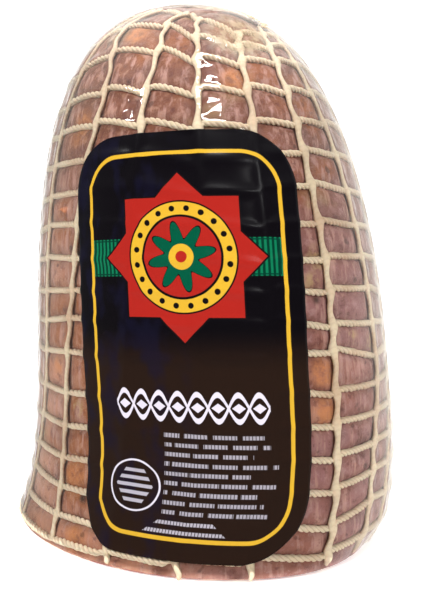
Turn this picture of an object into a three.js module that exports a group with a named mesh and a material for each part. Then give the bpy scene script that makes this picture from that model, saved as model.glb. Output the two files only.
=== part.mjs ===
// Half a coppa: a cured pork collar standing on its cut face, squeezed by a stretched elastic net,
// with a long printed label on its front. Millimetres, +Z up, the label faces -Y.
// Places on the skin are given by a turn round the meat, in radians from the middle of the label,
// and a climb, the distance walked up the skin from the cut face.

import * as THREE from "three";
import { mergeVertices } from "three/addons/utils/BufferGeometryUtils.js";

// Meat
const HEIGHT = 158.3; // cut face to the top of the dome
const BODY_SIZE = 55.7; // the section's size that its two half axes are worked out from
const LONG_AXIS = 1.17; // long half axis of the oval section, times the section's size
const SHORT_AXIS = 0.94; // short half axis, times the section's size
const OVAL_TURN = THREE.MathUtils.degToRad(35.5); // from the front to the long axis, to the right
const LABEL_TURN = THREE.MathUtils.degToRad(-46); // middle of the label, from the long axis
const DOME_POWER = 3.13; // how long the sides stay upright below the dome
const DOME_ROUNDNESS = 0.355;
const TAPER = 0.017; // share by which the foot is wider than the body
const TAPER_RISE = 40;
const LEAN = 13; // the dome leans to the left
const LEAN_FROM = 17;
const LEAN_SPAN = 241;
const FOOT_SHIFT = 6.4; // the cut edge is pushed out to the left
const FOOT_RISE = 10;
const EDGE_CLIMB = 1.8; // the rounded edge of the cut face
const EDGE_INSET = 1.6;

// Net
const COLUMNS = 19;
const ROWS = 18; // rows of cells between the lowest and the highest ring
const FIRST_RING = 5.4; // climb of the lowest ring
const RING_STEP = 9.1;
const RING_WOBBLE = 0.8; // how unevenly the rings lie
const RING_SLANT = 0.035; // share by which rings to the left lie further apart, and to the right closer
const COLUMN_START = THREE.MathUtils.degToRad(2.5); // turn of the strand behind the middle of the label
const COLUMN_DRIFT = THREE.MathUtils.degToRad(6.5); // how far the columns turn to the right on their way up
const COLUMN_SPREAD = 0.1; // the front columns stand wider apart at the foot
const COLUMN_PINCH = 0.19; // and closer together higher up
const NET_REACH = 125; // climb where drift and pinch are complete
const WARP_HALF = 1.5; // half the width of a lengthwise strand
const HOOP_HALF = 1.25; // half the width of a cross strand
const NARROW_CELL = 0.17; // a strand's most half width, as a share of the cell's width
const CREST_LIFT = 0.9; // the strands' outer ridge above the skin
const SIDE_LIFT = 0.2;
const ROOT_LIFT = -0.75; // the strands' inner ridge, sunk in the meat
const STRAND_END = 2.2; // climb where the strands are cut off at the foot
const GATHER_REACH = 5.5; // half the width of the gathered end of the net, at the top
const GATHER_LIFT = 2.2;
const PLEAT_REACH = 11; // the strands close up here, with a fold between each two
const PLEAT_LIFT = 0.1;

// Meat between the strands
const GROOVE_LIFT = -1.35; // bottom of the grooves under the strands
const PILLOW_SIDE_LIFT = 0.2;
const PILLOW_MIDDLE_LIFT = 0.45;
const PILLOW_ACROSS = [0.2, 0.5, 0.8]; // where a cell's bulge has its corners and its middle
const PILLOW_UP = [0.3, 0.7];
const FULL_CELL = 15; // cells narrower than this bulge less

// Label
const LABEL_WIDTH = 59.6; // at half its height
const LABEL_TAPER = 0.045; // share by which it narrows to the foot and widens to the top
const LABEL_HEIGHT = 108;
const LABEL_FOOT = 4.6; // climb of its lower edge
const LABEL_CORNER = 15;
const LABEL_GAP = 0.35; // to the net's ridges
const LABEL_THICKNESS = 0.6;
const LABEL_ACROSS = 10;
const LABEL_CORNER_STEPS = 4;
const LABEL_STRAIGHT_STEPS = 10;

const WALK_STEPS = 12; // steps of the walk from the middle of the label to a place on it
const PROFILE_STEPS = 400;
const NUDGE = 0.01; // step for slopes, in radians or in mm

const smooth = THREE.MathUtils.smoothstep;
const mix = THREE.MathUtils.lerp;

// Size of the section at a height.
function sectionSize(z) {
  const share = Math.min(z / HEIGHT, 1);
  const dome = Math.max(1 - share ** DOME_POWER, 0) ** DOME_ROUNDNESS;
  return BODY_SIZE * dome * (1 - TAPER * smooth(z, 0, TAPER_RISE));
}

// The profile walked from the cut face to the top, as pairs of climb and height.
// The steps shorten towards the top, where the profile turns flat.
const profile = [];
for (let step = 0, climb = 0; step <= PROFILE_STEPS; step++) {
  const z = HEIGHT * Math.sin((Math.PI / 2) * (step / PROFILE_STEPS));
  if (step > 0) {
    const last = profile[step - 1];
    climb += Math.hypot(z - last.z, sectionSize(z) - sectionSize(last.z));
  }
  profile.push({ climb, z });
}
const TOP_CLIMB = profile[PROFILE_STEPS].climb;

function heightAt(climb) {
  const next = profile.findIndex((p) => p.climb >= climb);
  if (next <= 0) return next === 0 ? 0 : HEIGHT;
  const [a, b] = [profile[next - 1], profile[next]];
  return mix(a.z, b.z, (climb - a.climb) / (b.climb - a.climb));
}

// A point of the bare oval body, before the net presses on it.
function bodyPoint(turn, climb) {
  const z = heightAt(climb);
  const size = sectionSize(z);
  const along = LONG_AXIS * size * Math.cos(turn + LABEL_TURN);
  const across = SHORT_AXIS * size * Math.sin(turn + LABEL_TURN);
  const lean = LEAN * smooth(z, LEAN_FROM, LEAN_FROM + LEAN_SPAN);
  const foot = FOOT_SHIFT * Math.exp(-z / FOOT_RISE);
  return new THREE.Vector3(
    along * Math.sin(OVAL_TURN) + across * Math.cos(OVAL_TURN) - lean - foot,
    across * Math.sin(OVAL_TURN) - along * Math.cos(OVAL_TURN),
    z
  );
}

// A point lifted off the body along its normal.
function skinPoint(turn, climb, lift = 0) {
  const at = Math.min(climb, TOP_CLIMB - NUDGE);
  const point = bodyPoint(turn, at);
  const round = bodyPoint(turn + NUDGE, at).sub(bodyPoint(turn - NUDGE, at));
  const up = bodyPoint(turn, at + NUDGE).sub(bodyPoint(turn, at - NUDGE));
  return point.addScaledVector(round.cross(up).normalize(), lift);
}

// The very top, where the turn has no meaning.
function topPoint(lift) {
  return bodyPoint(0, TOP_CLIMB).add(new THREE.Vector3(0, 0, lift));
}

// Turn of a lengthwise strand at a climb. A column may be a fraction, for places between strands.
function columnTurn(column, climb) {
  const reach = Math.min(climb / NET_REACH, 1);
  const even = (2 * Math.PI * column) / COLUMNS;
  const spread = (COLUMN_SPREAD - COLUMN_PINCH * reach) * Math.sin(even);
  return COLUMN_START + even + COLUMN_DRIFT * reach + spread;
}

// Climb at which a ring crosses a strand.
function ringClimb(ring, column) {
  const whole = column % COLUMNS;
  const step = RING_STEP * (1 - RING_SLANT * Math.sin((2 * Math.PI * column) / COLUMNS));
  const wobble = Math.sin(2.3 * whole + 0.9 * ring) + Math.sin(1.1 * whole - 1.7 * ring);
  return FIRST_RING + step * ring + (RING_WOBBLE * wobble) / 2;
}

// Where a ring crosses a strand, lifted off the body.
function knot(ring, column, lift) {
  const climb = ringClimb(ring, column);
  return skinPoint(columnTurn(column, climb), climb, lift);
}

function cellWidth(climb) {
  return (2 * Math.PI * sectionSize(heightAt(climb))) / COLUMNS;
}

// Collects triangles from named corners and turns them into one closed geometry.
class Skin {
  constructor() {
    this.numbers = [];
  }

  triangle(a, b, c) {
    for (const point of [a, b, c]) this.numbers.push(point.x, point.y, point.z);
  }

  // A fan over a ring of corners, which run anticlockwise seen from outside.
  face(...corners) {
    for (let k = 2; k < corners.length; k++) this.triangle(corners[0], corners[k - 1], corners[k]);
  }

  geometry() {
    const made = new THREE.BufferGeometry();
    made.setAttribute("position", new THREE.Float32BufferAttribute(this.numbers, 3));
    const closed = mergeVertices(made, 1e-3);
    closed.computeVertexNormals();
    return closed;
  }
}

// A point of the low bulge that fills a cell of the net.
function pillowPoint(ring, column, across, up) {
  const low = mix(ringClimb(ring, column), ringClimb(ring, column + 1), across);
  const high = mix(ringClimb(ring + 1, column), ringClimb(ring + 1, column + 1), across);
  const climb = mix(low, high, up);
  const full = Math.min(cellWidth(climb) / FULL_CELL, 1);
  const lift = across === 0.5 ? PILLOW_MIDDLE_LIFT : PILLOW_SIDE_LIFT;
  return skinPoint(columnTurn(column + across, climb), climb, mix(GROOVE_LIFT, lift, full));
}

function addMeatCell(skin, ring, column) {
  const [lowLeft, lowRight] = [column, column + 1].map((of) => knot(ring, of, GROOVE_LIFT));
  const [topLeft, topRight] = [column, column + 1].map((of) => knot(ring + 1, of, GROOVE_LIFT));
  const [low, high] = PILLOW_UP.map((up) =>
    PILLOW_ACROSS.map((across) => pillowPoint(ring, column, across, up))
  );
  skin.face(lowLeft, lowRight, low[2], low[1], low[0]);
  skin.face(topRight, topLeft, high[0], high[1], high[2]);
  skin.face(lowLeft, low[0], high[0], topLeft);
  skin.face(lowRight, topRight, high[2], low[2]);
  skin.face(low[0], low[1], high[1], high[0]);
  skin.face(low[1], low[2], high[2], high[1]);
}

// A strip of meat under the lowest ring, a rounded edge, and a slice of the flat cut face.
function addMeatFoot(skin, column) {
  const [left, , right] = PILLOW_ACROSS;
  const places = [[column, 0], [column, left], [column, right], [(column + 1) % COLUMNS, 0]];
  const edge = places.map(([of, across]) => {
    const lift = across === 0 ? GROOVE_LIFT : 0;
    return skinPoint(columnTurn(of + across, EDGE_CLIMB), EDGE_CLIMB, lift);
  });
  const cut = places.map(([of, across]) => skinPoint(columnTurn(of + across, 0), 0, -EDGE_INSET).setZ(0));
  const middle = bodyPoint(0, 0).add(bodyPoint(Math.PI, 0)).divideScalar(2);
  const [lowLeft, lowRight] = [column, column + 1].map((of) => knot(0, of, GROOVE_LIFT));
  skin.face(edge[1], edge[2], lowRight, lowLeft);
  skin.triangle(edge[0], edge[1], lowLeft);
  skin.triangle(edge[2], edge[3], lowRight);
  for (let k = 0; k < 3; k++) {
    skin.face(cut[k], cut[k + 1], edge[k + 1], edge[k]);
    skin.triangle(middle, cut[k + 1], cut[k]);
  }
}

// Meat: one body, with a groove under each strand and a low bulge in each cell of the net.
function meatGeometry() {
  const skin = new Skin();
  for (let column = 0; column < COLUMNS; column++) {
    addMeatFoot(skin, column);
    for (let ring = 0; ring < ROWS; ring++) addMeatCell(skin, ring, column);
    const [left, right] = [column, column + 1].map((of) => knot(ROWS, of, GROOVE_LIFT));
    skin.triangle(left, right, topPoint(GROOVE_LIFT));
  }
  return skin.geometry();
}

// A corner of a hole in the net: beside a strand and above or below a ring.
function holeCorner(ring, column, side, rise) {
  const climb = ringClimb(ring, column) + rise * HOOP_HALF;
  const half = Math.min(WARP_HALF / cellWidth(climb), NARROW_CELL);
  return skinPoint(columnTurn(column + side * half, climb), climb, SIDE_LIFT);
}

// The four sides of a hole, each sloping to the outer and to the inner ridge of its strand.
function addNetCell(skin, ring, column) {
  const hole = [
    holeCorner(ring, column, 1, 1),
    holeCorner(ring, column + 1, -1, 1),
    holeCorner(ring + 1, column + 1, -1, -1),
    holeCorner(ring + 1, column, 1, -1),
  ];
  const [crest, root] = [CREST_LIFT, ROOT_LIFT].map((lift) => [
    knot(ring, column, lift),
    knot(ring, column + 1, lift),
    knot(ring + 1, column + 1, lift),
    knot(ring + 1, column, lift),
  ]);
  for (let k = 0; k < 4; k++) {
    const next = (k + 1) % 4;
    skin.face(crest[k], crest[next], hole[next], hole[k]);
    skin.face(root[next], root[k], hole[k], hole[next]);
  }
}

function strandEnd(column, side, lift) {
  const half = WARP_HALF / cellWidth(STRAND_END);
  return skinPoint(columnTurn(column + side * half, STRAND_END), STRAND_END, lift);
}

// Below the lowest ring the strands run on to the cut edge and stop there.
function addNetFoot(skin, column) {
  const [crestLeft, crestRight] = [column, column + 1].map((of) => knot(0, of, CREST_LIFT));
  const [rootLeft, rootRight] = [column, column + 1].map((of) => knot(0, of, ROOT_LIFT));
  const [cornerLeft, cornerRight] = [holeCorner(0, column, 1, -1), holeCorner(0, column + 1, -1, -1)];
  const [sideLeft, sideRight] = [strandEnd(column, 1, SIDE_LIFT), strandEnd(column + 1, -1, SIDE_LIFT)];
  const [endCrest, nextCrest] = [column, column + 1].map((of) => strandEnd(of, 0, CREST_LIFT));
  const [endRoot, nextRoot] = [column, column + 1].map((of) => strandEnd(of, 0, ROOT_LIFT));
  skin.face(crestRight, crestLeft, cornerLeft, cornerRight);
  skin.face(rootLeft, rootRight, cornerRight, cornerLeft);
  skin.face(crestLeft, endCrest, sideLeft, cornerLeft);
  skin.face(endRoot, rootLeft, cornerLeft, sideLeft);
  skin.face(nextCrest, crestRight, cornerRight, sideRight);
  skin.face(rootRight, nextRoot, sideRight, cornerRight);
  skin.face(endCrest, strandEnd(column, -1, SIDE_LIFT), endRoot, sideLeft);
}

// Above the highest ring the strands close up in pleats and end in a small bunch.
function addNetGather(skin, column) {
  const gathered = (of, reach, lift) => skinPoint(columnTurn(of, NET_REACH), TOP_CLIMB - reach, lift);
  const [crestLeft, crestRight] = [column, column + 1].map((of) => knot(ROWS, of, CREST_LIFT));
  const [rootLeft, rootRight] = [column, column + 1].map((of) => knot(ROWS, of, ROOT_LIFT));
  const [bunchLeft, bunchRight] = [column, (column + 1) % COLUMNS].map((of) =>
    gathered(of, GATHER_REACH, GATHER_LIFT)
  );
  const fold = gathered(column + 0.5, PLEAT_REACH, PLEAT_LIFT);
  skin.triangle(crestLeft, crestRight, fold);
  skin.triangle(crestLeft, fold, bunchLeft);
  skin.triangle(crestRight, bunchRight, fold);
  skin.triangle(fold, bunchRight, bunchLeft);
  skin.triangle(bunchLeft, bunchRight, topPoint(GATHER_LIFT));
  skin.triangle(rootRight, rootLeft, topPoint(ROOT_LIFT));
}

// Net: one lattice of ridged strands.
function netGeometry() {
  const skin = new Skin();
  for (let column = 0; column < COLUMNS; column++) {
    addNetFoot(skin, column);
    for (let ring = 0; ring < ROWS; ring++) addNetCell(skin, ring, column);
    addNetGather(skin, column);
  }
  return skin.geometry();
}

// Turn reached by walking a distance round the skin from the middle of the label.
function turnAfter(distance, climb) {
  let turn = 0;
  for (let step = 0; step < WALK_STEPS; step++) {
    const round = bodyPoint(turn + NUDGE, climb).distanceTo(bodyPoint(turn, climb)) / NUDGE;
    turn += distance / WALK_STEPS / round;
  }
  return turn;
}

// Rows of the label from its foot to its top, as a height above its middle and half a width.
function labelRows() {
  const straight = LABEL_HEIGHT / 2 - LABEL_CORNER;
  const rows = [];
  for (let k = 0; k <= LABEL_CORNER_STEPS; k++) {
    const angle = (Math.PI / 2) * (1 - k / LABEL_CORNER_STEPS);
    const inset = LABEL_CORNER * (1 - Math.cos(angle));
    rows.push({ up: -straight - LABEL_CORNER * Math.sin(angle), half: LABEL_WIDTH / 2 - inset });
  }
  for (let k = 1; k < LABEL_STRAIGHT_STEPS; k++) {
    rows.push({ up: mix(-straight, straight, k / LABEL_STRAIGHT_STEPS), half: LABEL_WIDTH / 2 });
  }
  for (const row of rows.slice(0, LABEL_CORNER_STEPS + 1).reverse()) {
    rows.push({ up: -row.up, half: row.half });
  }
  return rows;
}

function labelPoint(row, column, lift) {
  const climb = LABEL_FOOT + LABEL_HEIGHT / 2 + row.up;
  const half = row.half * (1 + (LABEL_TAPER * row.up) / (LABEL_HEIGHT / 2));
  const across = half * (2 * (column / LABEL_ACROSS) - 1);
  return skinPoint(turnAfter(across, climb), climb, lift);
}

// Label: a thin sheet with round corners, wrapped over the strands.
function labelGeometry() {
  const skin = new Skin();
  const [back, front] = [0, LABEL_THICKNESS].map((rise) =>
    labelRows().map((row) =>
      Array.from({ length: LABEL_ACROSS + 1 }, (_, column) =>
        labelPoint(row, column, CREST_LIFT + LABEL_GAP + rise)
      )
    )
  );
  const last = front.length - 1;
  for (let k = 0; k < last; k++) {
    const [lowFront, topFront, lowBack, topBack] = [front[k], front[k + 1], back[k], back[k + 1]];
    for (let column = 0; column < LABEL_ACROSS; column++) {
      skin.face(lowFront[column], lowFront[column + 1], topFront[column + 1], topFront[column]);
      skin.face(lowBack[column + 1], lowBack[column], topBack[column], topBack[column + 1]);
    }
    skin.face(lowBack.at(0), lowFront.at(0), topFront.at(0), topBack.at(0));
    skin.face(lowFront.at(-1), lowBack.at(-1), topBack.at(-1), topFront.at(-1));
  }
  for (let column = 0; column < LABEL_ACROSS; column++) {
    skin.face(back[0][column], back[0][column + 1], front[0][column + 1], front[0][column]);
    skin.face(front[last][column], front[last][column + 1], back[last][column + 1], back[last][column]);
  }
  return skin.geometry();
}

function piece(name, geometry, color, roughness) {
  const material = new THREE.MeshStandardMaterial({ color, roughness, metalness: 0, flatShading: true });
  const mesh = new THREE.Mesh(geometry, material);
  mesh.name = name;
  return mesh;
}

const coppa = new THREE.Group();
coppa.add(
  piece("meat", meatGeometry(), "#8e5a48", 0.35),
  piece("net", netGeometry(), "#d6c3a0", 0.7),
  piece("label", labelGeometry(), "#1c1513", 0.25)
);

// The origin lies under the middle of the whole.
const middle = new THREE.Box3().setFromObject(coppa).getCenter(new THREE.Vector3());
coppa.position.set(-middle.x, -middle.y, 0);

export default coppa;
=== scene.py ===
import math

import bpy
import numpy as np
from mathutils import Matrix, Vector, noise


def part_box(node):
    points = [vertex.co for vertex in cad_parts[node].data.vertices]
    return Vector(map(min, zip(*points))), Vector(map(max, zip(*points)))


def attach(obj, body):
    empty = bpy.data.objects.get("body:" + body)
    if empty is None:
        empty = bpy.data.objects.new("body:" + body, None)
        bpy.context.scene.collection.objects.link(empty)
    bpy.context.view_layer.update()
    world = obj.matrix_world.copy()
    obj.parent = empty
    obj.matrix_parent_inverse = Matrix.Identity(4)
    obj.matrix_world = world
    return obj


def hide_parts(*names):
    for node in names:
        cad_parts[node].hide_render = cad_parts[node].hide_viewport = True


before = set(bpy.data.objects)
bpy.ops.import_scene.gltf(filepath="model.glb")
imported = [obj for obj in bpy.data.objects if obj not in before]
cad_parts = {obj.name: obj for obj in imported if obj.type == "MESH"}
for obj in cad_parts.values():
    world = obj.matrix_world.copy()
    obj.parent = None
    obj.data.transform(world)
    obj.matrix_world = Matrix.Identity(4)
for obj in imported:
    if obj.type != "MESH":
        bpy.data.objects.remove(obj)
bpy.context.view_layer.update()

mm = 0.001


# Cured meat
# Half a coppa: a pork collar, salted, cured and pressed into a dome by its net, then cut across.
# Its skin is dark and streaked with the grain of the muscle, and stands on the pale marbled cut.
# Places on the skin are a turn round it, a climb from the cut face, and a lift off it.
body_height = 158.3 * mm
body_size = 55.7 * mm
long_axis = 1.17
short_axis = 0.94
oval_turn = math.radians(35.5)
label_turn = math.radians(-46)
dome_power = 3.13
dome_roundness = 0.355
taper = 0.017
taper_rise = 40 * mm
lean = 13 * mm
lean_from = 17 * mm
lean_span = 241 * mm
foot_shift = 6.4 * mm
foot_rise = 10 * mm
edge_climb = 1.4 * mm
edge_inset = 1.0 * mm
meat_floor = 0.25 * mm
sunk = 0.6 * mm          # the body is measured over net and film, and the bare meat lies this far in
sunk_rise = (0, 12 * mm)
# Where the piece departs from an even oval: how far, and between which heights or places aside.
aside_shift = 1.0 * mm
aside_rise = (25 * mm, 60 * mm)
left_bulge = 0.9 * mm
bulge_rise = (0, 10 * mm)
bulge_fade = (28 * mm, 60 * mm)
left_waist = 0.6 * mm
waist_rise = (25 * mm, 50 * mm)
left_part = (22 * mm, 54 * mm)
right_tuck = 2.2 * mm
tuck_fade = (0, 11 * mm)
right_part = (30 * mm, 50 * mm)
crown_shift = 1.0 * mm
crown_rise = (150 * mm, body_height)
nudge = 0.01 * mm
turn_nudge = 0.01
profile_points = 800


def smooth(value, start, end):
    share = np.clip((value - start) / (end - start), 0, 1)
    return share * share * (3 - 2 * share)


def mix(a, b, share):
    return a + (b - a) * share


def section_size(z):
    dome = np.clip(1 - np.clip(z / body_height, 0, 1) ** dome_power, 0, 1) ** dome_roundness
    return body_size * dome * (1 - taper * smooth(z, 0, taper_rise))


profile_z = body_height * np.sin(np.linspace(0, math.pi / 2, profile_points))
profile_steps = np.hypot(np.diff(profile_z), np.diff(section_size(profile_z)))
profile_climb = np.concatenate([[0], np.cumsum(profile_steps)])
top_climb = profile_climb[-1]


def body_point(turn, climb):
    z = np.interp(climb, profile_climb, profile_z)
    size = section_size(z)
    along = long_axis * size * np.cos(turn + label_turn)
    across = short_axis * size * np.sin(turn + label_turn)
    aside = lean * smooth(z, lean_from, lean_from + lean_span) + foot_shift * np.exp(-z / foot_rise)
    x = along * math.sin(oval_turn) + across * math.cos(oval_turn) - aside
    y = across * math.sin(oval_turn) - along * math.cos(oval_turn)
    return np.stack([x, y, z], axis=-1)


# The bare body is centred in the box that the frame gives the meat.
ring_turns, ring_climbs = np.meshgrid(np.linspace(0, 2 * math.pi, 240), np.linspace(0, top_climb, 160))
bare = body_point(ring_turns, ring_climbs).reshape(-1, 3)
meat_low, meat_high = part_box("meat")
body_middle = (np.array(meat_low) + np.array(meat_high) - bare.min(0) - bare.max(0)) / 2
body_middle[2] = 0


def skin(turn, climb, lift):
    at = np.clip(climb, 0, top_climb - nudge)
    around = body_point(turn + turn_nudge, at) - body_point(turn - turn_nudge, at)
    up = body_point(turn, at + nudge) - body_point(turn, at - nudge)
    normal = np.cross(around, up)
    normal /= np.linalg.norm(normal, axis=-1, keepdims=True)
    sunk_here = sunk * smooth(at, *sunk_rise)
    place = body_point(turn, at) + normal * (lift - sunk_here)[..., None] + body_middle
    x, z = place[..., 0].copy(), place[..., 2].copy()
    bulge = left_bulge * smooth(z, *bulge_rise) * (1 - smooth(z, *bulge_fade))
    bulge = bulge - left_waist * smooth(z, *waist_rise)
    place[..., 0] -= aside_shift * smooth(z, *aside_rise) + bulge * smooth(-x, *left_part)
    place[..., 0] -= right_tuck * (1 - smooth(z, *tuck_fade)) * smooth(x, *right_part)
    place[..., 0] -= crown_shift * smooth(z, *crown_rise)
    return place


# The net's layout, which the meat's grooves, the strands, the label's ridges and the film share.
# A place on the net is a column, whole at each strand, and a reach up from the cut face. The turns
# of the eight strands in front are listed, and the others are spread evenly behind.
columns = 19
strand_reach = np.array([0, 15, 30, 50, 75, 100, 125, 137, 148, 158, 190]) * mm
strand_turns = np.radians([
    [-62, -63, -58, -54, -53.5, -53, -50, -47, -46, -46, -46],
    [-38.0, -41.2, -41.4, -39.8, -35.8, -33.0, -26.2, -25.5, -30, -38, -38],
    [-19.5, -18.5, -17.5, -16.5, -14, -12, -9.3, -5, -4, -10, -16],
    [-1.5, 1, 2.5, 3.5, 5, 7, 9, 10.5, 11, 6, 4],
    [17, 20, 22, 23, 24, 24.6, 26.5, 27.5, 31, 32, 32],
    [42, 40.4, 41, 42.6, 43.2, 42.2, 42.5, 43.5, 46.5, 48, 48],
    [57, 55.5, 57.5, 64.5, 63, 60.5, 57.5, 57, 58, 60, 62],
    [66, 66, 70, 76, 78, 77, 74, 72, 74, 76, 78],
])
first_strand = -3
strand_ease = 13         # steps of reach over which a strand's bends are rounded
crowding_rise = (125 * mm, 158 * mm)
crowded_share = 0.3
reach_step = 1 * mm
reach_grid = np.arange(0, 190 * mm, reach_step)
ring_reach = np.array([
    4.4, 11.2, 19.6, 27.6, 35.8, 45, 54.2, 63.2, 71.8,
    80.8, 90.3, 99.9, 109.3, 118.4, 127.8, 137, 145.5, 153,
]) * mm
rings = len(ring_reach)
ring_wobble = 0.5 * mm
wobble_rise = (0, 20 * mm)
front_column = 0.3
front_droop = 4.2 * mm
droop_width = 1.5
droop_rise = (60 * mm, 112 * mm)
dome_rise = (105 * mm, 125 * mm)
joint_jump = 1.5 * mm
joint_jump_front = 1.7 * mm
jump_width = 1.6
jump_share = 1.2
strand_cover = 0.09
cord_arch = 0.7 * mm
# Left and right of the label the cords run level through the strands: middle column, half the width.
level_places = [(-2.7, 1.3), (3.8, 1.7)]
# The lowest rings sag on the left and rise on the right, and the last ones are drawn up on the left,
# where the last ring closes the net's mouth like a rope. Millimetres for the strands from -4 on.
uneven_rings = {
    0: [-2.4, -2.4, -2.4, -1, 0, 1.2, 0.5, 3, 3.6, 3.4, 2, 1, 0],
    1: [-2.4, -2.4, -2.6, -1, 0, 2.4, 0.8, 4.5, 5.1, 4.8, 3, 1.4, 0],
    2: [-3.4, -3.4, -3.6, -1.5, 0, 2.6, 1.9, 4.2, 5, 4.6, 3, 1.4, 0],
    3: [-3.2, -3.2, -3.4, -1.5, 0, 2, 1.4, 4.4, 5, 4.6, 3, 1.4, 0],
    4: [-1.6, -1.6, -1.8, -1, 0, 1.6, 0.9, 3.7, 4.4, 4, 2.5, 1.2, 0],
    5: [-1.8, -1.8, -1.8, -1, 0, 1.6, 0.6, 2, 2.6, 2.4, 1.5, 0.7, 0],
    6: [-0.5, -0.5, -0.5, 0, 0, 1, 3, 0.2, 0.8, 0.8, 0.4, 0],
    15: [0, 2, 5, 4.5, 1.5, 0, 0, 0, 0, 0],
    16: [0, 5, 9, 9, 2, -1, -2.8, 0, 0, 0],
    17: [0, 10, 11.5, 12, 8, -2, -1.8, 0, 0, 0],
}
# The net is bunched beside the top of the dome, where it was pulled tight over the meat.
bunch_off = 35 * mm
bunch_soft = 5 * mm
bunch_turn = math.radians(50)
search_margin = 40 * mm
search_steps = 40


def strand_table():
    """Turn of every strand at every millimetre of reach, eased so that no strand has a corner.

    Over the top, the strands that come from behind the left side are drawn close together.
    """
    front = np.array([np.interp(reach_grid, strand_reach, turns) for turns in strand_turns])
    ease = np.ones(strand_ease) / strand_ease
    margin = strand_ease // 2
    padded = np.pad(front, ((0, 0), (margin, margin)), mode="edge")
    front = np.array([np.convolve(row, ease, mode="valid") for row in padded])
    behind = columns - len(front) + 1
    crowding = smooth(reach_grid, *crowding_rise)
    rows = []
    for k in range(1, behind + 1):
        share = k / behind
        crowded = 0.5 + (share - 0.5) * crowded_share if behind / 2 < k < behind else share
        rows.append(mix(front[-1], front[0] + 2 * math.pi, mix(share, crowded, crowding)))
    return np.vstack([front, rows])


strand_rows = strand_table()


def column_turn(column, reach):
    place = column - first_strand
    rounds = np.floor(place / columns)
    place = place - rounds * columns
    row = np.clip(np.floor(place).astype(int), 0, columns - 1)
    at = np.clip(reach / reach_step, 0, len(reach_grid) - 1.001)
    step = at.astype(int)
    low = mix(strand_rows[row, step], strand_rows[row, step + 1], at - step)
    high = mix(strand_rows[row + 1, step], strand_rows[row + 1, step + 1], at - step)
    return mix(low, high, place - row) + rounds * 2 * math.pi


def column_at(turn, reach):
    start = column_turn(np.full_like(turn, first_strand), reach)
    rounds = np.floor((turn - start) / (2 * math.pi))
    turn = turn - rounds * 2 * math.pi
    column = np.full_like(turn, first_strand)
    for strand in range(first_strand, first_strand + columns):
        low = column_turn(np.full_like(turn, strand), reach)
        high = column_turn(np.full_like(turn, strand + 1), reach)
        column = np.where(turn >= low, strand + (turn - low) / (high - low), column)
    return column + rounds * columns


def pull(left):
    """How far the bunching moves a place of the net that was this far from the top."""
    return bunch_off + bunch_soft * np.logaddexp(0, (left - bunch_off) / bunch_soft) - left


def net_spot(column, reach):
    """Turn and climb where a place of the net lies on the meat."""
    left = top_climb - reach
    turn = column_turn(column, reach)
    x = left * np.cos(turn) + pull(left) * math.cos(bunch_turn)
    y = left * np.sin(turn) + pull(left) * math.sin(bunch_turn)
    return np.arctan2(y, x), top_climb - np.hypot(x, y)


def net_place(turn, climb):
    """Column and reach of the net at a place on the meat, and how much the net is stretched there."""
    left = top_climb - climb
    x, y = left * np.cos(turn), left * np.sin(turn)
    low, high = np.zeros_like(left), np.full_like(left, top_climb + search_margin)
    for _ in range(search_steps):
        middle = (low + high) / 2
        away = np.hypot(x - pull(middle) * math.cos(bunch_turn), y - pull(middle) * math.sin(bunch_turn))
        low = np.where(away > middle, middle, low)
        high = np.where(away > middle, high, middle)
    x, y = x - pull(low) * math.cos(bunch_turn), y - pull(low) * math.sin(bunch_turn)
    net_turn = np.arctan2(y, x)
    ease = 1 / (1 + np.exp(np.clip(-(low - bunch_off) / bunch_soft, -40, 40)))
    stretch = 1 + (ease - 1) * np.cos(net_turn - bunch_turn)
    return column_at(net_turn, top_climb - low), top_climb - low, stretch


def cell_width(reach):
    return 2 * math.pi * section_size(np.interp(reach, profile_climb, profile_z)) / columns


def near_front(strand, width):
    beside = np.mod(strand - front_column + columns / 2, columns) - columns / 2
    return np.exp(-(beside / width) ** 2)


def ring_level(ring, strand):
    whole = np.mod(strand, columns)
    base = ring_reach[np.clip(ring, 0, rings - 1).astype(int)]
    wobble = np.sin(2.3 * whole + 0.9 * ring) + np.sin(1.1 * whole - 1.7 * ring)
    level = base + ring_wobble * wobble * smooth(base, *wobble_rise)
    level = level - front_droop * near_front(strand, droop_width) * smooth(base, *droop_rise)
    beside = np.mod(strand - first_strand + 1, columns)
    for uneven_ring, raised in uneven_rings.items():
        raised = np.interp(beside, np.arange(len(raised)), raised) * mm
        level = level + np.where(np.equal(ring, uneven_ring), raised, 0)
    return level


def cord_reach(ring, column):
    """Reach of a cross cord: it leaves a strand high on its right and meets the next one low."""
    strand = np.floor(column)
    across = column - strand
    level = mix(ring_level(ring, strand), ring_level(ring, strand + 1), across)
    dome = smooth(level, *dome_rise)
    calm = np.maximum(*[near_front(column - place, width) for place, width in level_places]) * (1 - dome)
    jump = joint_jump * (1 - calm) + joint_jump_front * near_front(column, jump_width) * dome
    inner = 0.5 - np.clip(across, strand_cover, 1 - strand_cover)
    near = np.minimum(np.minimum(across, 1 - across) / strand_cover, 1)
    arch = cord_arch * dome * 4 * across * (1 - across)
    return level + jump_share * jump * inner * near + arch


def off_cord(column, reach):
    """Distance along the net to the nearest cross cord."""
    nearest = np.searchsorted(ring_reach, reach)
    distances = [
        np.abs(reach - cord_reach(np.clip(nearest + k, 0, rings - 1), column)) for k in (-2, -1, 0, 1)
    ]
    return np.min(distances, axis=0)


def off_strand(column, reach):
    return np.abs(column - np.round(column)) * cell_width(reach)


def on_net(column, reach, stretch, strand_width, cord_width):
    """1 on a strand or a cord, falling off to nothing beside it."""
    return np.maximum(
        np.exp(-(off_strand(column, reach) / strand_width) ** 2),
        np.exp(-(off_cord(column, reach) * stretch / cord_width) ** 2),
    )


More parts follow.
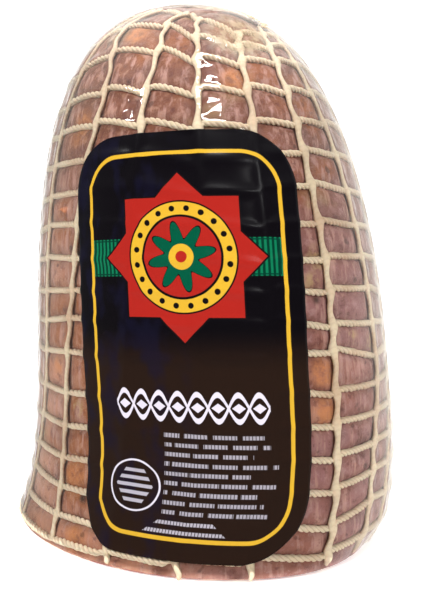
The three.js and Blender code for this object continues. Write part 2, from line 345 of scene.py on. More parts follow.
# Relief of the meat: sunk under the strands and cords, swollen between them.
strand_groove = 0.8 * mm
cord_groove = 1.0 * mm
strand_press = 1.5 * mm
cord_press = 1.2 * mm
swell = 0.42 * mm
swell_from_strand = 5 * mm
swell_from_cord = 3.5 * mm
lumps = 0.3 * mm
lump_size = 9 * mm
doubles = 0.02 * mm      # points closer than this are one
foot_rings = 5
foot_ring_size = 0.72


def lumpiness(turn, climb, size):
    places = skin(turn, climb, np.zeros_like(turn)) / size
    return np.array([noise.noise(Vector(place)) for place in places])


def rounded_edge(climb):
    """How far the rounded edge of the cut face lies in."""
    edge = np.clip(1 - climb / edge_climb, 0, 1)
    return edge_inset * (1 - np.sqrt(1 - edge ** 2))


def meat_lift(turn, climb):
    column, reach, stretch = net_place(turn, climb)
    to_strand = off_strand(column, reach)
    to_cord = off_cord(column, reach) * stretch
    pillow = swell * np.sqrt(np.clip(to_strand / swell_from_strand, 0, 1))
    pillow = pillow * np.sqrt(np.clip(to_cord / swell_from_cord, 0, 1))
    pressed = np.maximum(
        strand_groove * np.exp(-(to_strand / strand_press) ** 2),
        cord_groove * np.exp(-(to_cord / cord_press) ** 2),
    )
    lift = pillow - pressed + lumps * lumpiness(turn, climb, lump_size)
    return lift * smooth(climb, 0, 4 * mm) - rounded_edge(climb)


def only(piece):
    """Leaves one piece selected and active."""
    bpy.ops.object.select_all(action="DESELECT")
    piece.select_set(True)
    bpy.context.view_layer.objects.active = piece


def finish_modifiers(piece):
    only(piece)
    for modifier in list(piece.modifiers):
        bpy.ops.object.modifier_apply(modifier=modifier.name)


def places_of(piece):
    places = np.empty(len(piece.data.vertices) * 3)
    piece.data.vertices.foreach_get("co", places)
    return places.reshape(-1, 3)


def put_places(piece, places):
    piece.data.vertices.foreach_set("co", places.ravel())
    piece.data.update()


def dome_sheet(name, across, up):
    """A flat sheet whose width is one turn and whose height is the climb, ready to be laid round."""
    bpy.ops.object.select_all(action="DESELECT")
    bpy.ops.mesh.primitive_grid_add(x_subdivisions=across, y_subdivisions=up, size=1, location=(0, 0, 0))
    sheet = bpy.context.object
    sheet.name = name
    return sheet


def laid_round(sheet):
    """Turn and climb of every point of a flat sheet."""
    flat = places_of(sheet)
    return flat[:, 0] * 2 * math.pi, (flat[:, 1] + 0.5) * top_climb


def close_dome(piece):
    """Joins the sheet's back seam and its pole, and closes the foot with a nearly flat face of rings."""
    only(piece)
    bpy.ops.object.mode_set(mode="EDIT")
    bpy.ops.mesh.select_all(action="SELECT")
    bpy.ops.mesh.remove_doubles(threshold=doubles)
    bpy.ops.mesh.select_mode(type="EDGE")
    bpy.ops.mesh.select_all(action="DESELECT")
    bpy.ops.mesh.select_non_manifold(
        extend=False, use_wire=False, use_multi_face=False, use_non_contiguous=False, use_verts=False
    )
    for _ in range(foot_rings):
        bpy.ops.mesh.extrude_region_move()
        bpy.ops.transform.resize(value=(foot_ring_size, foot_ring_size, 1))
    bpy.ops.mesh.merge(type="CENTER")
    bpy.ops.mesh.select_all(action="SELECT")
    bpy.ops.mesh.normals_make_consistent(inside=False)
    bpy.ops.object.mode_set(mode="OBJECT")
    bpy.ops.object.shade_smooth()


meat = dome_sheet("cured_meat", columns * 20, 190)
meat_turn, meat_climb = laid_round(meat)
meat_places = skin(meat_turn, meat_climb, meat_lift(meat_turn, meat_climb))
meat_places[:, 2] = np.maximum(meat_places[:, 2], meat_floor)
put_places(meat, meat_places)


def set_values(piece, name, values):
    """Gives each point of a piece a number that its material reads."""
    points = piece.data.attributes.new(name, "FLOAT", "POINT")
    points.data.foreach_set("value", np.asarray(values, dtype=np.float32))


def read_values(here, name):
    return here.node("ShaderNodeAttribute", {"attribute_name": name}, None, "Fac")


column, reach, stretch = net_place(meat_turn, meat_climb)
# Nearness to the net, which darkens the skin there with meat juice and painted shade.
set_values(meat, "juice_and_shade_by_net", on_net(column, reach, stretch, strand_width=2.1 * mm, cord_width=1.9 * mm))
close_dome(meat)


def tone(red, green, blue):
    """A colour as a screen shows it, from 0 to 255, made linear."""
    parts = [part / 255 for part in (red, green, blue)]
    return [part / 12.92 if part < 0.04 else ((part + 0.055) / 1.055) ** 2.4 for part in parts] + [1.0]


class Signal:
    """A socket whose value is worked on by ordinary operators. Each adds a Math node."""

    def __init__(self, socket):
        self.socket = socket
        self.tree = socket.id_data

    def node(self, kind, settings=None, sockets=None, out=0):
        """Adds any node: its settings are set first, then the values or links of its sockets."""
        made = self.tree.nodes.new(kind)
        for name, value in (settings or {}).items():
            setattr(made, name, value)
        for name, value in (sockets or {}).items():
            if isinstance(value, Signal):
                self.tree.links.new(value.socket, made.inputs[name])
            else:
                made.inputs[name].default_value = value
        return Signal(made.outputs[out])

    def math(self, operation, first, second=0.0):
        return self.node("ShaderNodeMath", {"operation": operation}, {0: first, 1: second})

    def __add__(self, other):
        return self.math("ADD", self, other)

    __radd__ = __add__

    def __sub__(self, other):
        return self.math("SUBTRACT", self, other)

    def __rsub__(self, other):
        return self.math("SUBTRACT", other, self)

    def __mul__(self, other):
        return self.math("MULTIPLY", self, other)

    __rmul__ = __mul__

    def __truediv__(self, other):
        return self.math("DIVIDE", self, other)

    def __pow__(self, other):
        return self.math("POWER", self, other)

    def __abs__(self):
        return self.math("ABSOLUTE", self)

    def __or__(self, other):
        return self.math("MAXIMUM", self, other)

    def __and__(self, other):
        return self.math("MINIMUM", self, other)

    def sine(self):
        return self.math("SINE", self)

    def whole(self):
        return self.math("FLOOR", self)

    def rest(self):
        return self.math("FRACT", self)

    def ramp(self, low, high):
        """0 below low, 1 above high, and smooth between."""
        sockets = {"Value": self, "From Min": low, "From Max": high}
        return self.node("ShaderNodeMapRange", {"interpolation_type": "SMOOTHSTEP"}, sockets)

    def between(self, below, above):
        """below where this is 0 and above where it is 1, for colours."""
        return self.node("ShaderNodeMix", {"data_type": "RGBA"}, {0: self, 6: below, 7: above}, 2)

    def moved(self, place=(0, 0, 0), scale=(1, 1, 1)):
        return self.node("ShaderNodeMapping", None, {"Vector": self, "Location": place, "Scale": scale})

    def noise(self, scale, detail=2.0, roughness=0.5):
        sockets = {"Vector": self, "Scale": scale, "Detail": detail, "Roughness": roughness}
        return self.node("ShaderNodeTexNoise", None, sockets)

    def distance(self, place):
        return self.node("ShaderNodeVectorMath", {"operation": "DISTANCE"}, {0: self, 1: place}, "Value")

    def part(self, axis):
        return self.node("ShaderNodeSeparateXYZ", None, {0: self}, axis)

    def bump(self, height, strength):
        return self.node("ShaderNodeBump", None, {"Height": self, "Strength": strength, "Distance": height})


def new_finish(name, coordinate="Object"):
    """An empty material, its shader, and the place that its pattern reads."""
    finish = bpy.data.materials.new(name)
    finish.use_nodes = True
    shader = finish.node_tree.nodes["Principled BSDF"]
    start = finish.node_tree.nodes.new("ShaderNodeTexCoord")
    return finish, shader, Signal(start.outputs[coordinate])


def feed(shader, **values):
    for name, value in values.items():
        socket = shader.inputs[name.replace("_", " ")]
        if isinstance(value, Signal):
            value.tree.links.new(value.socket, socket)
        else:
            socket.default_value = value


meat_finish, shader, here = new_finish("cured_skin")
height = here.part(2)
patches = here.noise(42, 2, 0.5)
grain = here.moved(scale=(1, 1, 0.13)).noise(520, 3, 0.6)
clouds = here.noise(150, 4, 0.6)
mottle = here.noise(430, 3, 0.65)
high = height.ramp(60 * mm, 125 * mm)
side = here.part(0).ramp(-22 * mm, 26 * mm)
low_skin = side.between(tone(182, 130, 106), tone(154, 112, 109))
far_left = (0 - here.part(0)).ramp(34 * mm, 54 * mm)
low_skin = far_left.between(low_skin, tone(198, 150, 122))
warm = patches.ramp(0.48, 0.66) * (1 - side * (1 - high) * 0.6)
colour = warm.between(high.between(low_skin, tone(130, 84, 66)), tone(158, 98, 60))
colour = clouds.ramp(0.5, 0.76).between(colour, tone(112, 68, 62))
colour = (grain.ramp(0.48, 0.66) * 0.85).between(colour, tone(188, 148, 136))
pale_skin = side.between(tone(190, 146, 122), tone(184, 146, 142))
colour = (mottle.ramp(0.5, 0.7) * 0.6).between(colour, pale_skin)
colour = ((1 - mottle.ramp(0.3, 0.46)) * 0.6).between(colour, tone(98, 58, 54))
fat = here.moved(place=(0.31, 0.12, 0.4)).noise(38, 3, 0.55).ramp(0.63, 0.72)
colour = (fat * 0.5).between(colour, tone(180, 156, 112))
specks = here.noise(260, 1, 0.3).ramp(0.73, 0.78)
colour = (specks * 0.6).between(colour, tone(62, 42, 38))
# Patches of yellowish fat, orange places and dark spots of the skin: turn, climb, half the width.
fat_spots = [
    (40, 80, 4), (37, 74, 3), (62, 57, 4), (-55, 28, 4),
    (51, 60, 2.5), (-35, 39, 3), (80, 120, 4), (150, 60, 5),
]
orange_spots = [
    (38, 51, 5), (38, 41, 5), (-35, 20, 6), (-30, 5, 5),
    (-45, 50, 4), (-16, 147, 5), (24, 128, 5), (-36, 118, 6),
]
dark_spots = [
    (38, 69.3, 1.4), (79, 122, 1.6), (-31, 15, 1.6), (62.5, 56.5, 1.1),
    (17, 172, 1.2), (-46, 34, 1.3), (200, 90, 1.5),
]


def spotted(here, spots, blur):
    """1 in the middle of each spot, with ragged edges."""
    found = 0
    for turn, climb, half in spots:
        middle = skin(np.radians([turn]), np.array([climb * mm]), np.zeros(1))[0]
        away = here.distance(tuple(middle)) + blur * 1.5 * mm
        spot = 1 - away.ramp(0.5 * half * mm, 1.2 * half * mm + 0.8 * mm)
        found = spot | found
    return found


orange = spotted(here, orange_spots, clouds) * (mottle.ramp(0.35, 0.6) * 0.55 + 0.25)
colour = orange.between(colour, tone(200, 136, 86))
fatty = spotted(here, fat_spots, clouds) * mottle.ramp(0.4, 0.6) * 0.7
colour = fatty.between(colour, tone(184, 160, 114))
colour = (spotted(here, dark_spots, clouds) * 0.85).between(colour, tone(44, 34, 32))
# Beside the strands and cords the skin is darker: meat juice, and painted shade where the net presses in.
juice_and_painted_shade = read_values(here, "juice_and_shade_by_net") * clouds.ramp(0.2, 0.6)
colour = (juice_and_painted_shade * 0.6).between(colour, tone(92, 52, 40))
# The cut face is paler, with veins of fat.
cut = (0 - height).ramp(-0.8 * mm, -0.4 * mm)
marbled = (here.noise(70, 4, 0.6).ramp(0.48, 0.6) * 0.8).between(tone(150, 74, 66), tone(220, 190, 166))
colour = cut.between(colour, marbled)
feed(
    shader,
    Base_Color=colour,
    Roughness=grain.ramp(0.2, 0.8) * 0.2 + 0.38,
    Normal=(grain * 0.5 + mottle * 0.5).bump(0.5 * mm, 0.4),
    Specular_IOR_Level=0.12,
    Subsurface_Weight=0.12,
    Subsurface_Radius=(0.8, 0.3, 0.2),
    Subsurface_Scale=3 * mm,
)
meat.data.materials.append(meat_finish)
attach(meat, "root")
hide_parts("meat")


# Lengthwise strands of the net
# Nineteen flat knitted bands of cream elastic yarn, stretched from the cut edge to the bunched end,
# apart from five at the front left, which end at the last ring. They press into the meat. Each is
# wider where a cross cord is knitted in, and waves a little between the cords.
strand_half = 0.86 * mm
strand_joint = 0.85
strand_thick = 0.5 * mm
strand_lift = 0.22 * mm
strand_foot = 2.2 * mm
strand_floor = 0.2 * mm
strand_end = top_climb - 2.5 * mm
strand_kink = 0.28 * mm
strand_slant = 4 * mm    # the cut ends in front lie slanted
strand_tip = 1.6 * mm
dome_slimming = 0.15
apart = 4                # the pieces of an array stand this far apart before they are laid on the meat


def lay_along(column, reach, ahead_column, ahead_reach, beside, lift):
    """Points beside and above a line of the net that runs on towards the place ahead."""
    turn, climb = net_spot(column, reach)
    centre = skin(turn, climb, np.zeros_like(turn))
    normal = skin(turn, climb, np.full_like(turn, 1 * mm)) - centre
    normal /= np.linalg.norm(normal, axis=-1, keepdims=True)
    turn, climb = net_spot(ahead_column, ahead_reach)
    along = skin(turn, climb, np.zeros_like(turn)) - centre
    along /= np.maximum(np.linalg.norm(along, axis=-1, keepdims=True), 1e-9)
    side = np.cross(along, normal)
    return centre + side * beside[:, None] + normal * lift[:, None]


bpy.ops.object.select_all(action="DESELECT")
bpy.ops.mesh.primitive_cylinder_add(vertices=12, radius=1, depth=1, rotation=(math.pi / 2, 0, 0))
strands = bpy.context.object
strands.name = "lengthwise_strands"
bpy.ops.object.transform_apply(location=False, rotation=True, scale=False)


def cut_across(piece, axis, cuts):
    """Cuts every edge that runs along an axis into even lengths."""
    bpy.ops.object.mode_set(mode="EDIT")
    bpy.ops.mesh.select_mode(type="EDGE")
    bpy.ops.mesh.select_all(action="DESELECT")
    bpy.ops.object.mode_set(mode="OBJECT")
    for edge in piece.data.edges:
        a, b = (piece.data.vertices[v].co for v in edge.vertices)
        edge.select = abs(a[axis] - b[axis]) > 0.001
    bpy.ops.object.mode_set(mode="EDIT")
    bpy.ops.mesh.subdivide(number_cuts=cuts)
    bpy.ops.object.mode_set(mode="OBJECT")


def repeat(piece, count, step, join=False):
    only(piece)
    array = piece.modifiers.new("repeat", "ARRAY")
    array.count = count
    array.use_relative_offset = False
    array.use_constant_offset = True
    array.constant_offset_displace = step
    array.use_merge_vertices = join
    finish_modifiers(piece)


def face_outwards(piece, merged=0.0):
    """Merges points that are closer than a distance, and turns every face outwards."""
    only(piece)
    bpy.ops.object.mode_set(mode="EDIT")
    bpy.ops.mesh.select_all(action="SELECT")
    if merged:
        bpy.ops.mesh.remove_doubles(threshold=merged)
    bpy.ops.mesh.normals_make_consistent(inside=False)
    bpy.ops.object.mode_set(mode="OBJECT")
    bpy.ops.object.shade_smooth()


# A strand has 320 lengths: 20, and 16 in each.
cut_across(strands, 1, 19)
cut_across(strands, 1, 15)
repeat(strands, columns, (apart, 0, 0))
flat = places_of(strands)
strand_number = np.round(flat[:, 0] / apart)
strand_side = flat[:, 0] - apart * strand_number
beside_front = np.mod(strand_number - first_strand, columns)
last_reach = ring_level(rings - 1, strand_number) + 0.6 * mm
last_reach = np.where(beside_front <= 1 - first_strand, last_reach, strand_end)
reach = mix(strand_foot, last_reach, flat[:, 1] + 0.5)
joint = np.exp(-(off_cord(strand_number, reach) / (1.9 * mm)) ** 2)
uneven = 0.12 * np.sin(reach / (1.7 * mm) + 2.1 * strand_number + 2 * flat[:, 0])
half = strand_half * (1 + strand_joint * joint + uneven) * (1 - dome_slimming * smooth(reach, *dome_rise))
half = np.minimum(half, 0.3 * mm + 0.5 * cell_width(reach))
gap = np.interp(reach, ring_reach, np.arange(rings)) % 1
kink = strand_kink * np.sin(2 * math.pi * gap + 1.3 * strand_number)
kink = kink * np.clip(cell_width(reach) / (6 * mm), 0, 1)
foot_slant = strand_slant * near_front(strand_number + 0.3, 1.6) * (1 - smooth(reach, strand_foot, 6 * mm))
tip = 1 - smooth(reach, strand_foot, strand_foot + strand_tip)
beside = strand_side * half * (1 - 0.45 * tip) + kink + foot_slant
bunch = smooth(reach, top_climb - 30 * mm, top_climb - 6 * mm)
lift = flat[:, 2] * strand_thick * (1 + 0.15 * joint) + strand_lift + 0.1 * mm * joint
lift = lift + bunch * mm * (0.3 + 0.3 * np.sin(2.4 * strand_number)) - 0.35 * mm * tip
strand_places = lay_along(strand_number, reach, strand_number, reach + 0.5 * mm, beside, lift)
strand_places[:, 2] = np.maximum(strand_places[:, 2], strand_floor)
put_places(strands, strand_places)
set_values(strands, "along", reach / mm)
set_values(strands, "beside", strand_side)
face_outwards(strands)


def cream(here, fuzz, hollow_shade):
    """The yarn's colour, stained in places by the meat, and darkened with painted shade in its hollows."""
    stain = here.noise(55, 3, 0.6)
    colour = stain.ramp(0.42, 0.72).between(tone(220, 205, 178), tone(204, 180, 152))
    colour = (fuzz.ramp(0.5, 0.85) * 0.35).between(colour, tone(198, 168, 132))
    return hollow_shade.between(colour, tone(160, 126, 94))


strand_finish, shader, here = new_finish("knitted_strand")
fuzz = here.noise(1400, 2, 0.7)
off_middle = abs(read_values(here, "beside"))
stitches = (read_values(here, "along") * (2 * math.pi / 1.5) + off_middle * 2.4).sine() * 0.5 + 0.5
feed(
    shader,
    # Darker towards the strand's edges, where it is painted shade, and in a pattern along its stitches.
    Base_Color=cream(here, fuzz, stitches.ramp(0.5, 1) * 0.12 + off_middle ** 4 * 0.4),
    Roughness=0.62,
    Normal=(fuzz * 0.6 - stitches * 0.3).bump(0.3 * mm, 0.6),
    Specular_IOR_Level=0.3,
    Subsurface_Weight=0.1,
    Subsurface_Scale=1.5 * mm,
)
strands.data.materials.append(strand_finish)
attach(strands, "root")
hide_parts("net")


# Cross cords of the net
# Each ring is a three-ply twisted cord, knitted through every strand, and its ends meet in the first
# one. Between two strands it slopes down to the right, except beside the label. The rings round the
# dome are shorter, so they have fewer twists.
cord_radius = 0.93 * mm
cord_valley = 0.64
cord_lift = -0.05 * mm
cord_sides = 12

cord_finish, shader, here = new_finish("twisted_cord")
fuzz = here.noise(1400, 2, 0.7)
valley = 1 - read_values(here, "ply")
feed(
    shader,
    # The valleys between the plies are darkened with painted shade.
    Base_Color=cream(here, fuzz, valley.ramp(0.3, 1) * 0.45),
    Roughness=0.62,
    Normal=fuzz.bump(0.2 * mm, 0.5),
    Specular_IOR_Level=0.3,
    Subsurface_Weight=0.08,
    Subsurface_Scale=1 * mm,
)


def cross_cords(name, first, count, twists, cuts):
    bpy.ops.object.select_all(action="DESELECT")
    bpy.ops.mesh.primitive_cylinder_add(
        vertices=cord_sides, radius=1, depth=1, end_fill_type="NOTHING", location=(0, 0, 0.5)
    )
    cord = bpy.context.object
    cord.name = name
    bpy.ops.object.transform_apply(location=True, rotation=False, scale=False)
    for vertex in cord.data.vertices:
        ply = abs(math.sin(1.5 * math.atan2(vertex.co.y, vertex.co.x)))
        vertex.co.x *= mix(cord_valley, 1, ply ** 0.6)
        vertex.co.y *= mix(cord_valley, 1, ply ** 0.6)
    cut_across(cord, 2, cuts)
    repeat(cord, columns, (0, 0, 1), join=True)
    repeat(cord, count, (apart, 0, 0))
    flat = places_of(cord)
    ring = np.round(flat[:, 0] / apart)
    column = flat[:, 2] + first_strand
    angle = 2 * math.pi * twists * column + ring
    across = flat[:, 0] - apart * ring
    up = across * np.cos(angle) - flat[:, 1] * np.sin(angle)
    out = across * np.sin(angle) + flat[:, 1] * np.cos(angle)
    ring = ring + first
    path = cord_reach(ring, column)
    crossing = np.exp(-(off_strand(column, path) / (1.2 * mm)) ** 2)
    uneven = 0.06 * np.sin(43 * column + 3 * ring) + 0.06 * np.sin(17.3 * column + 5 * ring)
    radius = cord_radius * (1 - 0.25 * crossing + uneven)
    lift = cord_lift + out * radius - 0.1 * mm * crossing
    ahead = column + 0.01
    put_places(cord, lay_along(column, path, ahead, cord_reach(ring, ahead), -up * radius, lift))
    set_values(cord, "ply", (np.hypot(across, flat[:, 1]) - cord_valley) / (1 - cord_valley))
    face_outwards(cord, merged=0.01 * mm)
    cord.data.materials.append(cord_finish)
    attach(cord, "root")
    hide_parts("net")


cross_cords("cross_cords_low", 0, 7, 4, 51)
cross_cords("cross_cords_middle", 7, 6, 4, 51)
cross_cords("cross_cords_dome", 13, 5, 3, 39)


# Label
# A tall round-cornered sheet of glossy film, printed black and brown with a gold line, a rosette,
# an ornament and rules. It is laid over the net, whose strands and cords show through as ridges.
label_width = 64 * mm
label_height = 108.5 * mm
label_taper = 0.02
label_swell = 0.03
label_foot = 4.6 * mm
label_off = 0.4 * mm
label_corner = 15 * mm
label_lift = 0.66 * mm
label_ridge = 0.34 * mm
label_thick = 0.2 * mm
corner_share = 0.2
walk_steps = 24

bpy.ops.object.select_all(action="DESELECT")
bpy.ops.mesh.primitive_grid_add(x_subdivisions=88, y_subdivisions=160, size=1, location=(0, 0, 0))
label = bpy.context.object
label.name = "label_sheet"
flat = places_of(label)
share = np.abs(flat[:, 1]) * 2
corner = np.clip((share - (1 - corner_share)) / corner_share, 0, 1) * math.pi / 2
straight = label_height / 2 - label_corner
rise = np.minimum(share / (1 - corner_share), 1) * straight + label_corner * np.sin(corner)
rise = np.sign(flat[:, 1]) * rise
half = label_width / 2 - label_corner * (1 - np.cos(corner))
share = rise / (label_height / 2)
beside = 2 * flat[:, 0] * half * (1 + label_taper * share - label_swell * share ** 2)
print_map = label.data.uv_layers.active.data
for loop in label.data.loops:
    v = loop.vertex_index
    print_map[loop.index].uv = (beside[v] / label_width + 0.5, rise[v] / label_height + 0.5)
label_climb = label_foot + label_height / 2 + rise


def turn_after(distance, climb):
    """Turn reached by walking this far round the skin from the middle of the label."""
    turn = np.zeros_like(distance)
    for _ in range(walk_steps):
        round_step = body_point(turn + turn_nudge, climb) - body_point(turn, climb)
        turn = turn + distance / walk_steps / (np.linalg.norm(round_step, axis=-1) / turn_nudge)
    return turn


def label_rise(turn, climb):
    column, reach, _ = net_place(turn, climb)
    return label_lift + label_ridge * on_net(column, reach, 1, strand_width=1.6 * mm, cord_width=1.3 * mm)


label_around = turn_after(beside - label_off, label_climb)
put_places(label, skin(label_around, label_climb, label_rise(label_around, label_climb)))
only(label)
thickness = label.modifiers.new("thickness", "SOLIDIFY")
thickness.thickness = label_thick
thickness.offset = 1
finish_modifiers(label)
bpy.ops.object.shade_smooth()
label_finish, shader, here = new_finish("printed_label", "UV")
# Every shape of the print is a distance in millimetres across the sheet, from its middle.
across = (here.part(0) - 0.5) * (label_width / mm)
up = (here.part(1) - 0.5) * (label_height / mm)
half_across = 32
half_up = 54
straightened = across / (up * (label_taper / half_up) - up * up * (label_swell / half_up ** 2) + 1)


def inked(distance, soften=0.09):
    """1 where a distance is below 0, with an edge as soft as print."""
    return 1 - distance.ramp(-soften, soften)


def length(x, y):
    return (x * x + y * y) ** 0.5


corner_round = 15
from_middle = abs(straightened - 0.4)
corner_x = from_middle - (half_across - corner_round)
corner_y = abs(up + 0.4) - (half_up - corner_round)
to_edge = length(corner_x | 0, corner_y | 0) + ((corner_x | corner_y) & 0) - corner_round
colour = up.ramp(-8, 4).between(tone(30, 19, 14), tone(9, 7, 10))
# Cloudy navy patches on the left of the sheet: a painted reflection.
navy_reflection = here.noise(9, 2, 0.5).ramp(0.46, 0.64) * (1 - across.ramp(-8, 6))
colour = (navy_reflection * 0.5).between(colour, tone(16, 15, 34))
gold = tone(176, 138, 38)
black = tone(14, 11, 12)
red = tone(136, 28, 22)
green = tone(3, 66, 46)
white = tone(180, 174, 186)

# The gold line keeps to the edge. A ribbed green band lies across the sheet, behind the rosette.
gold_line_in = 5.3
gold_line_half = 0.53
band_reach = 26.1
band_half = 4.6
rib_pitch = 1.3
colour = inked(abs(to_edge + gold_line_in) - gold_line_half).between(colour, gold)
rosette_x = (across - 1.2) * 0.95
rosette_y = (up - 21.3) * 0.95
to_band = (from_middle - band_reach) | (abs(rosette_y) - band_half)
ribs = ((across * (2 * math.pi / rib_pitch)).sine() * 0.5 + 0.5).ramp(0.25, 0.75)
colour = inked(to_band).between(colour, ribs.between(tone(2, 42, 30), tone(10, 92, 62)))
colour = inked(abs(to_band + 0.45) - 0.16).between(colour, tone(3, 44, 32))

# The rosette: two crossed squares, a gold ring with studs, and a flower of eight petals.
outline = 0.4
star_half = 14.5
ring_outside = 13.3
ring_inside = 9.6
stud_count = 20
stud_ring = 11.8
petal_count = 8
square = abs(rosette_x) | abs(rosette_y)
turned = abs(rosette_x + rosette_y) * 0.7071 | abs(rosette_x - rosette_y) * 0.7071
star = square & turned
round_it = length(rosette_x, rosette_y)
angle = rosette_y.math("ARCTAN2", rosette_y, rosette_x)
colour = inked(star - (star_half + outline)).between(colour, black)
colour = inked(star - star_half).between(colour, red)
colour = inked(round_it - (ring_outside + outline)).between(colour, black)
colour = inked(round_it - ring_outside).between(colour, gold)
studs = length(((angle * (stud_count / (2 * math.pi))).rest() - 0.5) * 3.7, round_it - stud_ring)
colour = inked(studs - 0.72).between(colour, black)
colour = inked(round_it - (ring_inside + 0.6)).between(colour, black)
colour = inked(round_it - ring_inside).between(colour, red)
petals = round_it - ((angle * petal_count).sine() * 2.1 + 6.3)
colour = inked(petals - 0.35).between(colour, black)
colour = inked(petals).between(colour, green)
colour = inked(round_it - 3.1).between(colour, gold)
colour = inked(round_it - 1.4).between(colour, red)

# A pale plait of two waves with lozenges in its eyes, rows of broken rules, a barred disc and a tail
# piece. The rules and the tail piece are cut into short bars.
plait_pitch = 10.2
row_pitch = 2.4
row_count = 9
bar_pitch = 0.85
disc_round = 6.4
disc_pitch = 1.9
plait_x = across - 0.9
plait_y = up + 16.2
wave = (plait_x * (2 * math.pi / plait_pitch)).sine() * 3.3
plait = (abs(plait_y - wave) & abs(plait_y + wave)) - 0.68
eye_x = abs((plait_x / (plait_pitch / 2)).rest() - 0.5) * (plait_pitch / 2)
plait = plait & (eye_x * 0.75 + abs(plait_y) - 1.25)
pale = inked(plait | (abs(plait_x) - 20.45))
line = (-22.2 - up) / row_pitch
row = line.whole()
unbroken = (across * 1.75 + row * 4.1).sine() + (across * 0.8 + row * 2.3).sine() + 1.15
line_end = (row * 2.7).sine() * 3.5 + 19.5
bars = 0.12 - abs((across / bar_pitch).rest() - 0.5)
rules = (abs(line.rest() - 0.5) * row_pitch - 0.5) | (0 - unbroken) * 0.5 | bars
rules = rules | (-5.8 - across) | (across - line_end)
rules = rules | (0 - line) | (line - row_count)
pale = pale | inked(rules) * 0.5
disc_x = (across + 14.4) * 0.86
disc_y = up + 37
pale = pale | inked(abs(length(disc_x, disc_y) - disc_round) - 0.22)
disc_rows = (disc_y / disc_pitch + 0.5).rest()
disc_bars = (abs(disc_rows - 0.5) * disc_pitch - 0.45) | (abs(disc_x) + abs(disc_y) * 0.55 - 4.7)
pale = pale | inked(disc_bars | (abs(disc_y) - 4.6)) * 0.6
tail_x = abs(across - 0.6)
tail_bars = (abs(abs(up + 46.3) - 1.1) - 0.45) | (tail_x + (up + 46.3) * 1.2 - 9)
pale = pale | inked(tail_bars | bars) * 0.6
colour = pale.between(colour, white)
feed(shader, Base_Color=colour, Roughness=0.22, Specular_IOR_Level=0.07)
label.data.materials.append(label_finish)
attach(label, "root")
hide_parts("label")


# Clear film
# A thin clear bag, drawn by vacuum and shrunk tight over meat and net and under the cut face. It
# bridges the hollows beside the strands, and small creases in it catch the light. It runs through the
# label's thickness, so the print lies just outside it.
film_lift = 0.62 * mm
film_ridge = 0.38 * mm
film_floor = 0.05 * mm
gather_turn = math.radians(30)
gather_climb = top_climb - 42 * mm

film = dome_sheet("clear_film", 380, 190)
film_turn, film_climb = laid_round(film)
column, reach, stretch = net_place(film_turn, film_climb)
ridge = on_net(column, reach, stretch, strand_width=2.1 * mm, cord_width=1.9 * mm)
lift = (film_lift + film_ridge * ridge) * (0.2 + 0.8 * smooth(film_climb, 0, 3.5 * mm))
lift = lift - rounded_edge(film_climb)
film_places = skin(film_turn, film_climb, lift)
film_places[:, 2] = np.maximum(film_places[:, 2], film_floor)
put_places(film, film_places)
close_dome(film)
film_finish, shader, here = new_finish("clear_film")
creases = here.noise(170, 2, 0.5)
ripples = here.moved(scale=(1, 1, 0.6)).noise(90, 2, 0.5)
wrinkled = (creases * 0.65 + ripples * 0.35).bump(1 * mm, 0.5)
tree = film_finish.node_tree
grazing = here.node("ShaderNodeLayerWeight", None, {"Blend": 0.5}, "Facing")
sheen = here.node("ShaderNodeFresnel", None, {"IOR": 1.34, "Normal": wrinkled}, 0)
clear = here.node("ShaderNodeBsdfTransparent", None, {"Color": (1, 1, 1, 1)})
haze = here.node("ShaderNodeBsdfDiffuse", None, {"Color": tone(224, 214, 198)})
crumpled = here.node("ShaderNodeBsdfDiffuse", None, {"Color": tone(182, 162, 136), "Normal": wrinkled})
wet = {"Color": (1, 1, 1, 1), "Roughness": 0.035, "Normal": wrinkled}
gloss = here.node("ShaderNodeBsdfGlossy", None, wet)
right_haze_light = here.part(0).ramp(48 * mm, 58 * mm) * creases.ramp(0.3, 0.6)
gather_place = skin(np.array([gather_turn]), np.array([gather_climb]), np.zeros(1))[0]
gathered = 1 - here.distance(tuple(gather_place)).ramp(5 * mm, 12 * mm)
left_haze_shade = (0 - here.part(0)).ramp(20 * mm, 50 * mm)
folds = here.moved(scale=(1, 1, 0.5)).noise(330, 3, 0.6)
# The haze is whiter on the right and fainter on the left: painted light that falls from the right.
haze_amount = grazing ** 4 * (0.36 - left_haze_shade * 0.2 + right_haze_light * 0.5) + right_haze_light * 0.1
haze_amount = haze_amount * here.part(2).ramp(1 * mm, 7 * mm)
haze_amount = haze_amount + gathered * (folds.ramp(0.4, 0.62) * 0.42 + 0.22)
shining = sheen * (1 - gathered * 0.9) * here.part(2).ramp(0.3 * mm, 3 * mm)
haze = here.node("ShaderNodeMixShader", None, {0: gathered, 1: haze, 2: crumpled})
skin_of_film = here.node("ShaderNodeMixShader", None, {0: haze_amount, 1: clear, 2: haze})
skin_of_film = here.node("ShaderNodeMixShader", None, {0: shining, 1: skin_of_film, 2: gloss})
tree.nodes.remove(shader)
tree.links.new(skin_of_film.socket, tree.nodes["Material Output"].inputs["Surface"])
film.data.materials.append(film_finish)
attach(film, "root")


# Table
# A plain pale floor that runs far behind the piece and glows a little, as a light table does. The
# film doesn't mirror it.
bpy.ops.object.select_all(action="DESELECT")
bpy.ops.mesh.primitive_plane_add(size=6, location=(0, 0, 0))
table = bpy.context.object
table.name = "table"
table_finish, shader, here = new_finish("pale_floor")
feed(shader, Base_Color=tone(252, 252, 250), Roughness=0.8, Emission_Strength=0.45)
table.data.materials.append(table_finish)
table.visible_glossy = False


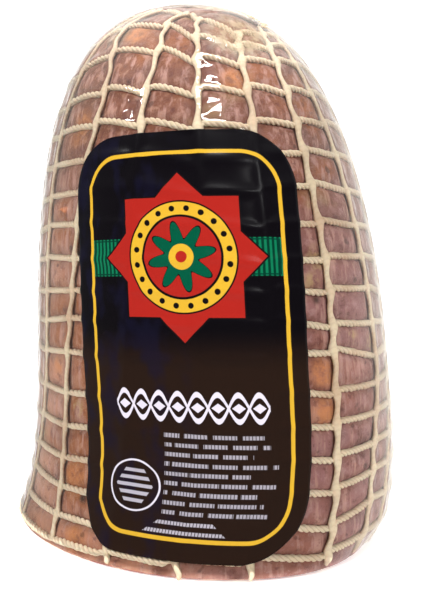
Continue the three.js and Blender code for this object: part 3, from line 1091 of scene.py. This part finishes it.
# Light and camera
# A room that is white behind and above the piece, dimmer beside it and dark in front of it, so that
# the dark label stays dark. Small lamps are mirrored in the film over the dome and faintly in the
# label's top, and two soft ones fill in the sides.
world = bpy.data.worlds.new("studio")
bpy.context.scene.world = world
world.use_nodes = True
backdrop = world.node_tree.nodes["Background"]
toward = Signal(world.node_tree.nodes.new("ShaderNodeTexCoord").outputs["Generated"])
to_left = (0 - toward.part(0)).ramp(0.25, 0.6)
to_right = toward.part(0).ramp(0.3, 0.7)
behind = toward.part(1).ramp(-0.6, 0.15) * (1 - to_left * 0.75 - to_right * 0.3)
room_light = 1.3
dim_light = 0.03
room = (behind | toward.part(2).ramp(0.4, 0.85)) * room_light + dim_light
# Looked at straight, the room is white on every side.
looked_at = Signal(world.node_tree.nodes.new("ShaderNodeLightPath").outputs["Is Camera Ray"])
room = room | (looked_at * (room_light + dim_light))
world.node_tree.links.new(room.socket, backdrop.inputs["Strength"])
backdrop.inputs["Color"].default_value = (1, 1, 1, 1)


def lamp(name, place, aim, width, depth, watts, mirrored):
    light = bpy.data.lights.new(name, "AREA")
    light.shape = "RECTANGLE"
    light.size = width
    light.size_y = depth
    light.energy = watts
    holder = bpy.data.objects.new(name, light)
    bpy.context.scene.collection.objects.link(holder)
    holder.visible_glossy = mirrored
    holder.location = place
    holder.rotation_euler = (Vector(aim) - Vector(place)).to_track_quat("-Z", "Y").to_euler()


lamp("front_lamp", (-0.12, -0.6, 0.86), (0, 0, 0.08), 0.24, 0.1, 5.6, True)
lamp("high_lamp", (-0.04, -0.4, 1.05), (0, 0, 0.08), 0.2, 0.08, 2.5, True)
lamp("label_lamp", (0.2, -0.57, 0.41), (0, 0, 0.1), 0.1, 0.05, 0.5, True)
lamp("side_lamp", (-0.72, -0.26, 0.72), (0, 0, 0.08), 0.12, 0.08, 1.8, True)
lamp("left_lamp", (-0.7, -0.65, 0.6), (0, 0, 0.08), 0.3, 0.3, 2.6, False)
lamp("right_lamp", (0.75, -0.6, 0.6), (0, 0, 0.08), 0.3, 0.3, 3.4, False)

film_back = 36           # millimetres
frame_height = 602       # pixels, as the next two
focal_length = 728
look_down = 16
eye = bpy.data.cameras.new("eye")
eye.lens = film_back * focal_length / frame_height
eye_holder = bpy.data.objects.new("eye", eye)
bpy.context.scene.collection.objects.link(eye_holder)
eye_holder.location = (4.8 * mm, -237.4 * mm, 73 * mm)
eye_holder.rotation_euler = (math.pi / 2 - math.atan(look_down / focal_length), 0, 0)
bpy.context.scene.camera = eye_holder
bpy.context.scene.view_settings.view_transform = "Standard"
